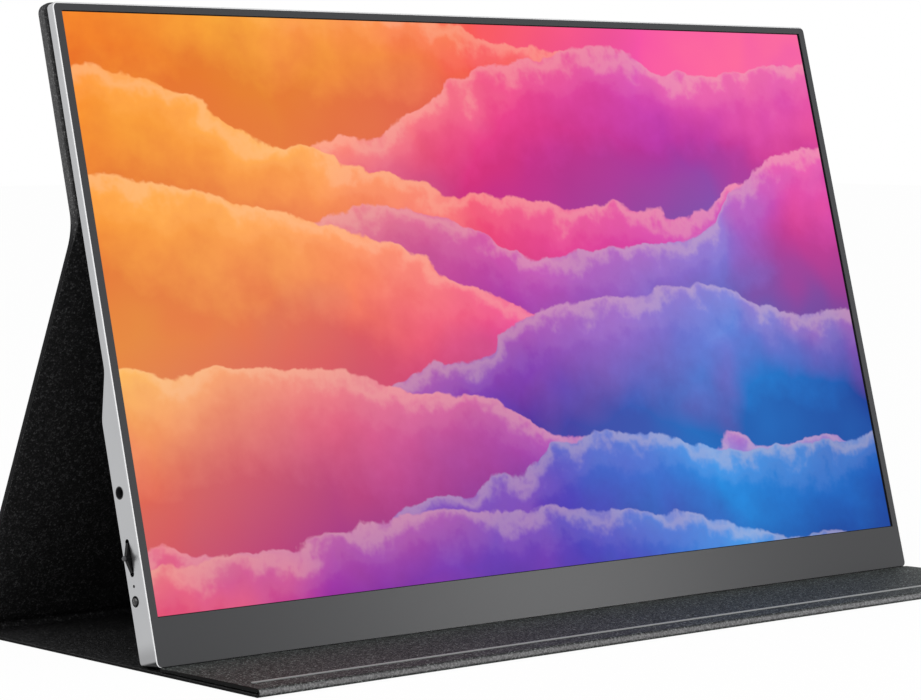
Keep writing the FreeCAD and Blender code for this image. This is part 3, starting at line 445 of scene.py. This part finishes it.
# Painted highlight: the lip's welt is pale to stand for the light along its ridge
bright_bead = fine_plastic("bright_bead", (0.22, 0.23, 0.23), (0.27, 0.28, 0.28), 0.45, 4, 0.01)
edge_paint = fine_plastic("edge_paint", (0.001, 0.001, 0.001), (0.003, 0.003, 0.003), 0.8,
                          Specular_IOR_Level=0.1)
black_plastic = fine_plastic("black_plastic", (0.012, 0.012, 0.013), (0.022, 0.022, 0.024), 0.46)
lever_plastic = tipped_plastic()
button_plastic = fine_plastic("button_plastic", (0.006, 0.006, 0.007), (0.011, 0.011, 0.012), 0.26)
socket_steel = plated_steel("socket_steel", (0.5, 0.5, 0.51), (0.64, 0.64, 0.65), 0.3, (0.15, 1, 1))
frame_steel = plated_steel("frame_steel", (0.46, 0.47, 0.48), (0.6, 0.61, 0.62), 0.38, (0.1, 1, 1))
contact_gold = plated_steel("contact_gold", (0.72, 0.5, 0.2), (0.86, 0.64, 0.3), 0.28, (0.3, 1, 1))
light_plastic = fine_plastic("light_plastic", (0.001, 0.001, 0.0012), (0.002, 0.002, 0.0024), 0.5,
                             Specular_IOR_Level=0.05)
film_plastic = fine_plastic("film_plastic", (0.78, 0.79, 0.81), (0.88, 0.89, 0.91), 0.3, 1.5, 0.004)
ribbon_plastic = fine_plastic("ribbon_plastic", (0.36, 0.2, 0.04), (0.46, 0.27, 0.06), 0.34, 2, 0.006)
cover_card = fine_plastic("cover_card", (0.24, 0.2, 0.15), (0.36, 0.31, 0.24), 0.8, 1.2, 0.05)
boards = circuit_board()

FINISHES = {
    "case_aluminium": aluminium,
    "bezel_plastic": bezel,
    "screen_glass": picture,
    "film_plastic": film_plastic,
    "frame_steel": frame_steel,
    "board_plastic": boards,
    "ribbon_plastic": ribbon_plastic,
    "black_plastic": black_plastic,
    "button_plastic": button_plastic,
    "light_plastic": light_plastic,
    "socket_steel": socket_steel,
    "cover_leather": leather,
    "cover_lining": lining,
    "cover_card": cover_card,
}

SLOT_OF = {part["node"]: part["material_slot"] for part in frame["record"]["subparts"]}


def dress_nodes():
    """Gives every solid of the frame the finish of its slot."""
    for name, node in frame["nodes"].items():
        node.data.materials.clear()
        node.data.materials.append(FINISHES[SLOT_OF[name]])


# Folio cover

class Panel:
    """A cover panel, lofted through rounded cross-sections from one end to the other."""

    LANES = 20
    ARC = 5
    END_STEPS = 10

    def __init__(self, name, painted_from=0):
        self.name = name
        self.rings = []
        self.painted_from = painted_from

    def ring(self, outer, inward, thickness, edge, half=COVER_HALF):
        """Adds a cross-section: its place on the outer face, the way to the lining, its thickness."""
        edge = min(edge, thickness * 0.49)
        flat = half - edge
        high = thickness - edge
        corners = ((flat, edge, -90), (flat, high, 0), (-flat, high, 90), (-flat, edge, 180))
        outline = []
        lanes = [flat * (2 * lane / self.LANES - 1) for lane in range(1, self.LANES)]
        for index, (x, rise, start) in enumerate(corners):
            for step in range(self.ARC + 1):
                angle = math.radians(start + 90 * step / self.ARC)
                outline.append((x + edge * math.cos(angle), rise + edge * math.sin(angle)))
            if index == 1:
                outline += [(lane, thickness) for lane in reversed(lanes)]
        outline += [(lane, 0) for lane in lanes]
        self.rings.append([Vector((x, 0, 0)) + outer + inward * rise for x, rise in outline])

    def rounded_end(self, place, along, inward, thickness, corner, edge):
        """Cross-sections from the very end of a panel back to its full width."""
        for step in range(self.END_STEPS + 1):
            inset = corner * (1 - math.cos(math.radians(90 * step / self.END_STEPS)))
            side = corner - math.sqrt(max(corner ** 2 - (corner - inset) ** 2, 0))
            lift = 0
            if inset < edge:
                lift = edge - math.sqrt(max(edge ** 2 - (edge - inset) ** 2, 0))
            outer = place + along * inset + inward * lift
            self.ring(outer, inward, thickness - 2 * lift, edge, COVER_HALF - side)

    def mesh(self, *finishes):
        """Makes the closed mesh: the second finish on the lining's face, the third on the painted ends."""
        shape = bmesh.new()
        rows = [[shape.verts.new(point * MM) for point in ring] for ring in self.rings]
        count = len(rows[0])
        lining_from = 2 * (self.ARC + 1) - 1
        lining_to = lining_from + self.LANES
        turned = self.ARC - 2
        painted = {*range(lining_from - turned), *range(lining_to + turned, lining_to + lining_from)}
        for index, (one, other) in enumerate(zip(rows, rows[1:])):
            for here in range(count):
                there = (here + 1) % count
                face = shape.faces.new((one[here], one[there], other[there], other[here]))
                if lining_from <= here < lining_to:
                    face.material_index = 1
                elif here in painted and index >= self.painted_from:
                    face.material_index = 2
        shape.faces.new(rows[0])
        shape.faces.new(rows[-1])
        bmesh.ops.recalc_face_normals(shape, faces=shape.faces)
        return finished(self.name, shape, finishes)


def finished(name, shape, finishes, crisp=35):
    """Turns a built shape into an object of the scene, smooth except at its crisp edges."""
    for face in shape.faces:
        face.smooth = True
    for line in shape.edges:
        if len(line.link_faces) == 2 and line.calc_face_angle() > math.radians(crisp):
            line.smooth = False
    mesh = bpy.data.meshes.new(name)
    shape.to_mesh(mesh)
    shape.free()
    for finish in finishes:
        mesh.materials.append(finish)
    piece = bpy.data.objects.new(name, mesh)
    bpy.context.collection.objects.link(piece)
    return piece


def inner_way(degrees):
    """The way to the cover's inner side, on the right of a heading in the side view."""
    angle = math.radians(degrees)
    return Vector((0, math.sin(angle), -math.cos(angle)))


def eased(start, end, share):
    """A value that goes smoothly from the start to the end, and stays there."""
    share = min(max(share, 0), 1)
    return start + (end - start) * share * share * (3 - 2 * share)


def make_cover_back():
    """Upper panel, the soft bend behind the screen and the upper half of the leg."""
    panel = Panel("cover_back", math.inf)
    to_case = -INTO_CASE
    top = CASE_FOOT + UP_SCREEN * UPPER_TOP + INTO_CASE * UPPER_DEPTH
    panel.rounded_end(top, -UP_SCREEN, to_case, UPPER_THICK, UPPER_CORNER, UPPER_EDGE)
    face = CREASE - UP_SCREEN * CREASE_UP
    for up in (205, 195, 185, 175, 165, 157, 150):
        panel.ring(face + UP_SCREEN * up, to_case, UPPER_THICK, edge=UPPER_EDGE)
    turn = 90 - LEG_DEGREES + TILT_DEGREES
    radius = CREASE_TANGENT / math.tan(math.radians(turn / 2))
    centre = CREASE + UP_SCREEN * CREASE_TANGENT + INTO_CASE * radius
    for step in range(BEND_STEPS + 1):
        share = step / BEND_STEPS
        inward = inner_way(turn * share - 90 - TILT_DEGREES)
        thick = eased(UPPER_THICK, LEG_THICK, share)
        panel.ring(centre + inward * radius, inward, thick, edge=eased(UPPER_EDGE, SHEET_EDGE, share))
    inward = inner_way(-LEG_DEGREES)
    for down in (9, 14, 20, 30, 40, 50, 60, 70, MID_LEG):
        panel.ring(CREASE + DOWN_LEG * down, inward, LEG_THICK, edge=SHEET_EDGE)
    piece = panel.mesh(leather, lining, edge_paint)
    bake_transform(piece)
    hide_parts("upper_skin", "upper_crease", "leg_skin")


def make_cover_rear():
    """Lower half of the leg, the tight bend at its foot and the base."""
    panel = Panel("cover_rear")
    inward = inner_way(-LEG_DEGREES)
    touch = LEG_LENGTH - REAR_BEND.z / math.tan(LEG_ANGLE / 2)
    for down in (MID_LEG, 90, 100, 110, 120, 130, 138, touch - 1.2):
        panel.ring(CREASE + DOWN_LEG * down, inward, LEG_THICK, edge=SHEET_EDGE)
    turn = 180 - LEG_DEGREES
    for step in range(BEND_STEPS + 1):
        share = step / BEND_STEPS
        inward = inner_way(-LEG_DEGREES - turn * share)
        thick = eased(LEG_THICK, BEND_THICK, 0.15 + share * 2)
        if step == BEND_STEPS // 2:
            panel.painted_from = len(panel.rings)
        panel.ring(REAR_BEND - inward * REAR_BEND.z, inward, thick, edge=BEND_EDGE)
    inward = inner_way(180)
    for run in (1.5, 3, 4.5, 8, 20, 40, 60, 80, 100, 120, 140):
        thick = eased(BEND_THICK, BASE_THICK, run / 4.5)
        panel.ring(Vector((0, REAR_BEND.y - run, 0)), inward, thick, edge=SHEET_EDGE)
    panel.ring(Vector((0, FRONT_FOLD.y + 0.05, 0)), inward, BASE_THICK, edge=SHEET_EDGE)
    piece = panel.mesh(leather, lining, edge_paint)
    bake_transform(piece)
    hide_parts("leg_lining", "rear_crease", "base_skin", "base_lining")


def make_cover_fold():
    """The skin of the front fold, which opens when the lip is turned out."""
    panel = Panel("cover_fold")
    for step in range(FOLD_STEPS + 1):
        inward = inner_way(180 - 180 * step / FOLD_STEPS)
        panel.ring(FRONT_FOLD - inward * FRONT_FOLD.z, inward, FOLD_THICK, edge=FOLD_EDGE)
    piece = panel.mesh(lip_leather, lining, edge_paint)
    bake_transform(piece)
    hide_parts("front_fold")


def make_cover_lip():
    """The short flap turned back on the base in front of the screen."""
    panel = Panel("cover_lip")
    inward = inner_way(0)
    top = 2 * FRONT_FOLD.z
    end = Vector((0, LIP_END, top - LIP_TAPER))
    panel.rounded_end(end, TO_FRONT, inward, LIP_THICK - LIP_TAPER, LIP_CORNER, BEND_EDGE)
    for run in (4, 10, 18, 26, 34, 42):
        drop = LIP_TAPER * max(1 - run / LIP_TAPER_RUN, 0)
        panel.ring(Vector((0, LIP_END - run, top - drop)), inward, LIP_THICK - drop, edge=SHEET_EDGE)
    panel.ring(Vector((0, FRONT_FOLD.y + 0.05, top)), inward, LIP_THICK, edge=SHEET_EDGE)
    piece = panel.mesh(lip_leather, lining, edge_paint)
    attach(piece, "lip")
    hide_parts("lip_skin", "lip_lining")


# Pieces made by node trees

class Tree(Nodes):
    """A geometry node tree with named inputs."""

    def __init__(self, name, inputs):
        super().__init__(bpy.data.node_groups.new(name, "GeometryNodeTree"))
        self.sockets = {}
        for label, kind in inputs.items():
            socket = self.tree.interface.new_socket(label, in_out="INPUT", socket_type=kind)
            self.sockets[label] = socket.identifier
        self.tree.interface.new_socket("Geometry", in_out="OUTPUT", socket_type="NodeSocketGeometry")

    def size(self, label):
        return self.node("NodeGroupInput", {}, {}, label)

    def finish(self, geometry):
        """Ends the tree: real faces with the finish on them."""
        whole = self.node("GeometryNodeRealizeInstances", {}, {"Geometry": geometry})
        coated = {"Geometry": whole, "Material": self.size("Finish")}
        painted = self.node("GeometryNodeSetMaterial", {}, coated)
        self.node("NodeGroupOutput", {}, {"Geometry": painted})

    def grow(self, name, **values):
        """Runs the tree once and keeps its result as a plain mesh."""
        seed = bpy.data.objects.new(f"{name}_seed", bpy.data.meshes.new(f"{name}_seed"))
        bpy.context.collection.objects.link(seed)
        modifier = seed.modifiers.new("tree", "NODES")
        modifier.node_group = self.tree
        for label, value in values.items():
            modifier[self.sockets[label]] = value
        seen = seed.evaluated_get(bpy.context.evaluated_depsgraph_get())
        mesh = bpy.data.meshes.new_from_object(seen)
        mesh.name = name
        seed.modifiers.remove(modifier)
        bpy.data.objects.remove(seed)
        piece = bpy.data.objects.new(name, mesh)
        bpy.context.collection.objects.link(piece)
        return piece


def contact_tree():
    """A row of flat contact strips with rounded noses, on a line across the display's height."""
    tree = Tree("contact_row", {
        "Count": "NodeSocketInt", "Pitch": "NodeSocketFloat", "Strip": "NodeSocketVector",
        "Middle": "NodeSocketVector", "Turn": "NodeSocketRotation", "Finish": "NodeSocketMaterial",
    })
    count, pitch = tree.size("Count"), tree.size("Pitch")
    start = tree.node("ShaderNodeCombineXYZ", {}, {"Y": (count - 1) * pitch * -0.5})
    step = tree.node("ShaderNodeCombineXYZ", {}, {"Y": pitch})
    run = {"Count": count, "Start Location": start, "Offset": step}
    line = tree.node("GeometryNodeMeshLine", {}, run)
    strip = tree.node("GeometryNodeMeshUVSphere", {}, {"Segments": 8, "Rings": 6, "Radius": 0.5})
    copies = {"Points": line, "Instance": strip, "Scale": tree.size("Strip")}
    rows = tree.node("GeometryNodeInstanceOnPoints", {}, copies)
    placed = tree.node("GeometryNodeTransform", {}, {
        "Geometry": rows, "Translation": tree.size("Middle"), "Rotation": tree.size("Turn"),
    })
    tree.finish(placed)
    return tree


def bead_tree():
    """A round bead drawn along a straight line, tapered to both ends."""
    tree = Tree("bead", {
        "Start": "NodeSocketVector", "End": "NodeSocketVector", "Radius": "NodeSocketFloat",
        "Taper": "NodeSocketFloat", "Finish": "NodeSocketMaterial",
    })
    ends = {"Start": tree.size("Start"), "End": tree.size("End")}
    line = tree.node("GeometryNodeCurvePrimitiveLine", {}, ends)
    dense = tree.node("GeometryNodeResampleCurve", {}, {"Curve": line, "Count": 180})
    share = tree.node("GeometryNodeSplineParameter", {}, {}, "Factor")
    rise = (share.least(1 - share) / tree.size("Taper")).clamped()
    slim = (rise ** 0.5).most(0.2)
    shaped = tree.node("GeometryNodeSetCurveRadius", {}, {"Curve": dense, "Radius": slim})
    circle = {"Resolution": 16, "Radius": tree.size("Radius")}
    ring = tree.node("GeometryNodeCurvePrimitiveCircle", {}, circle)
    sweep = {"Curve": shaped, "Profile Curve": ring, "Fill Caps": True}
    bead = tree.node("GeometryNodeCurveToMesh", {}, sweep)
    tree.finish(tree.node("GeometryNodeSetShadeSmooth", {}, {"Geometry": bead}))
    return tree


def display_point(across, up, out):
    """A point on the display: across, up the screen and out of it."""
    return CASE_FOOT + Vector((across, 0, 0)) + UP_SCREEN * up - INTO_CASE * out


def make_lip_bead():
    """The welt that runs along the lip near its front, pale as a painted highlight on its ridge."""
    from_fold, from_ends, radius, taper = 8.2, 4.8, 0.45, 0.002
    place = Vector((0, FRONT_FOLD.y + from_fold, 2 * FRONT_FOLD.z))
    half = Vector((COVER_HALF - from_ends, 0, 0))
    piece = bead_tree().grow("lip_bead", Start=(place - half) * MM, End=(place + half) * MM,
                             Radius=radius * MM, Taper=taper, Finish=bright_bead)
    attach(piece, "lip")


def make_contacts():
    """Gold contacts on both faces of each socket's tongue."""
    tree = contact_tree()
    turn = Matrix.Rotation(math.radians(90) - TILT, 3, "X").to_euler()
    inset, tongue_face, length, thickness = 3.4, 0.35, 4.6, 0.12
    # Each socket's place up the screen and depth, then the number, pitch and width of its contacts
    rows = (
        ("data_socket_low", 42, 5.98, 12, 0.5, 0.3),
        ("data_socket_high", 57, 5.98, 12, 0.5, 0.3),
        ("picture_socket", 24.5, 5.95, 10, 0.6, 0.32),
    )
    for socket, up, depth, count, pitch, width in rows:
        strip = Vector((length, width, thickness))
        for face, label in ((-1, "rear"), (1, "front")):
            middle = display_point(CASE_HALF - inset, up, face * tongue_face - depth)
            piece = tree.grow(f"{socket}_{label}_contacts", Count=count, Pitch=pitch * MM,
                              Strip=strip * MM, Middle=middle * MM, Turn=turn, Finish=contact_gold)
            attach(piece, "screen")


# Display

def smooth_copy(node, finish, body, bevel=0):
    """The same shape as a solid of the frame, with its facets shaded as one smooth surface."""
    same_place, flat, crisp = 2e-6, math.radians(0.5), 30
    shape = bmesh.new()
    shape.from_mesh(frame["nodes"][node].data)
    bmesh.ops.remove_doubles(shape, verts=shape.verts, dist=same_place)
    bmesh.ops.dissolve_limit(shape, angle_limit=flat, verts=shape.verts, edges=shape.edges)
    piece = finished(f"{node}_finish", shape, [finish], crisp)
    if bevel:
        edge = piece.modifiers.new("soft_edges", "BEVEL")
        edge.width = bevel * MM
        edge.segments = 3
        edge.limit_method = "ANGLE"
        edge.angle_limit = math.radians(crisp)
    normals = piece.modifiers.new("normals", "WEIGHTED_NORMAL")
    normals.keep_sharp = True
    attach(piece, body)
    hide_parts(node)


# Round controls, from the inside out: radius, and reach beyond the wall
CAP_PROFILE = (
    (1.6, -4.5), (1.6, -1.65), (2.3, -1.65), (2.3, -1.05), (1.25, -1.05),
    (1.25, -0.05), (1.16, 0.2), (0.9, 0.36), (0.55, 0.46), (0.15, 0.5),
)
PIPE_PROFILE = ((0.5, -7.1), (0.5, -0.9), (0.4, -0.8))
TURN_STEPS = 40


def make_turned(node, body, up, depth, profile, finish):
    """A round control on the left side, turned from its profile."""
    centre = display_point(-CASE_HALF, up, -depth)
    shape = bmesh.new()
    turns = [math.tau * step / TURN_STEPS for step in range(TURN_STEPS)]
    spokes = [UP_SCREEN * math.cos(turn) + INTO_CASE * math.sin(turn) for turn in turns]
    rows = []
    for radius, out in profile:
        middle = centre - Vector((out, 0, 0))
        rows.append([shape.verts.new((middle + spoke * radius) * MM) for spoke in spokes])
    for one, other in zip(rows, rows[1:]):
        for here in range(TURN_STEPS):
            shape.faces.new((one[here - 1], one[here], other[here], other[here - 1]))
    shape.faces.new(rows[0])
    shape.faces.new(rows[-1])
    bmesh.ops.recalc_face_normals(shape, faces=shape.faces)
    piece = finished(f"{node}_finish", shape, [finish])
    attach(piece, body)
    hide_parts(node)


def make_display():
    """The case, the sockets and the controls in their finishes."""
    smooth_copy("back_shell", aluminium, "screen")
    smooth_copy("front_bezel", bezel, "screen")
    smooth_copy("headphone_jack", black_plastic, "screen")
    for socket in ("data_socket_low", "data_socket_high", "picture_socket"):
        smooth_copy(socket, socket_steel, "screen")
    smooth_copy("jog_lever", lever_plastic, "jog_rock_body", bevel=0.28)
    make_turned("power_button", "power_button_body", 21.9, 5.75, CAP_PROFILE, button_plastic)
    make_turned("light_pipe", "screen", 26.6, 5.3, PIPE_PROFILE, light_plastic)


# Studio

def white_where_seen(nodes, lit_level, seen_level):
    """White for the camera and for mirrors and glass, a softer level as light on the object."""
    rays = ("Is Camera Ray", "Is Glossy Ray", "Is Transmission Ray")
    camera, mirror, glass = [nodes.node("ShaderNodeLightPath", {}, {}, ray) for ray in rays]
    seen = (camera + mirror + glass).clamped()
    levels = {"Value": seen, "To Min": lit_level, "To Max": seen_level}
    return nodes.node("ShaderNodeMapRange", {}, levels)


def make_studio():
    """A white room and a pale floor that keeps the shadow."""
    world = bpy.data.worlds.new("white_studio")
    bpy.context.scene.world = world
    world.use_nodes = True
    nodes = Nodes(world.node_tree)
    white = {"Color": (1, 1, 1), "Strength": white_where_seen(nodes, 0.55, 1)}
    nodes.node("ShaderNodeOutputWorld", {}, {"Surface": nodes.node("ShaderNodeBackground", {}, white)})

    floor_half, floor_drop = 6, 0.0002
    shape = bmesh.new()
    bmesh.ops.create_grid(shape, x_segments=1, y_segments=1, size=floor_half)
    bmesh.ops.translate(shape, verts=shape.verts, vec=(0, 0, -floor_drop))
    sweep = bpy.data.materials.new("pale_floor")
    sweep.use_nodes = True
    nodes = Nodes(sweep.node_tree)
    card = nodes.node("ShaderNodeBsdfDiffuse", {}, {"Color": (0.9, 0.9, 0.9)})
    glow = nodes.node("ShaderNodeEmission", {}, {})
    both = nodes.node("ShaderNodeMixShader", {}, {0: white_where_seen(nodes, 0, 0.97), 1: card, 2: glow})
    nodes.node("ShaderNodeOutputMaterial", {}, {"Surface": both})
    floor = finished("floor", shape, [sweep])


def make_lamp(name, place, target, width, height, power):
    """A rectangular softbox that faces its target."""
    light = bpy.data.lights.new(name, "AREA")
    light.shape = "RECTANGLE"
    light.size = width
    light.size_y = height
    light.energy = power
    lamp = bpy.data.objects.new(name, light)
    aim = (Vector(target) - Vector(place)).to_track_quat("-Z", "Y")
    lamp.matrix_world = Matrix.Translation(place) @ aim.to_matrix().to_4x4()
    bpy.context.collection.objects.link(lamp)


def make_camera():
    """A long lens on the left of the screen, a little above the table."""
    place = Vector((-744.39, -803.59, 169.98))
    around, above, roll = [math.radians(degrees) for degrees in (-41.71, 3.6, -0.28)]
    level = Vector((-math.sin(around), math.cos(around), 0))
    forward = level * math.cos(above) - Vector((0, 0, math.sin(above)))
    right = forward.cross(Vector((0, 0, 1))).normalized()
    down = forward.cross(right)
    across = right * math.cos(roll) + down * math.sin(roll)
    below = down * math.cos(roll) - right * math.sin(roll)
    lens = bpy.data.cameras.new("camera")
    lens.sensor_width = 36
    lens.lens = 123.41
    lens.shift_y = -0.0326
    lens.clip_start = 0.01
    lens.clip_end = 50
    camera = bpy.data.objects.new("camera", lens)
    turned = Matrix((across, -below, -forward)).transposed().to_4x4()
    camera.matrix_world = Matrix.Translation(place * MM) @ turned
    bpy.context.collection.objects.link(camera)
    bpy.context.scene.camera = camera


dress_nodes()
make_display()
make_cover_back()
make_cover_rear()
make_cover_fold()
make_cover_lip()
make_lip_bead()
make_contacts()
make_studio()
make_lamp("front_softbox", (-0.45, -0.95, 0.8), (0, 0, 0.1), 0.9, 0.65, 3.4)
make_lamp("left_softbox", (-1.5, 0.35, 0.8), (0, 0, 0.1), 1.0, 1.0, 12)
make_lamp("right_strip", (0.245, -0.3, 0.1), (-0.01, -0.026, 0.01), 0.12, 0.16, 0.26)
make_camera()
bpy.context.scene.view_settings.view_transform = "Standard"
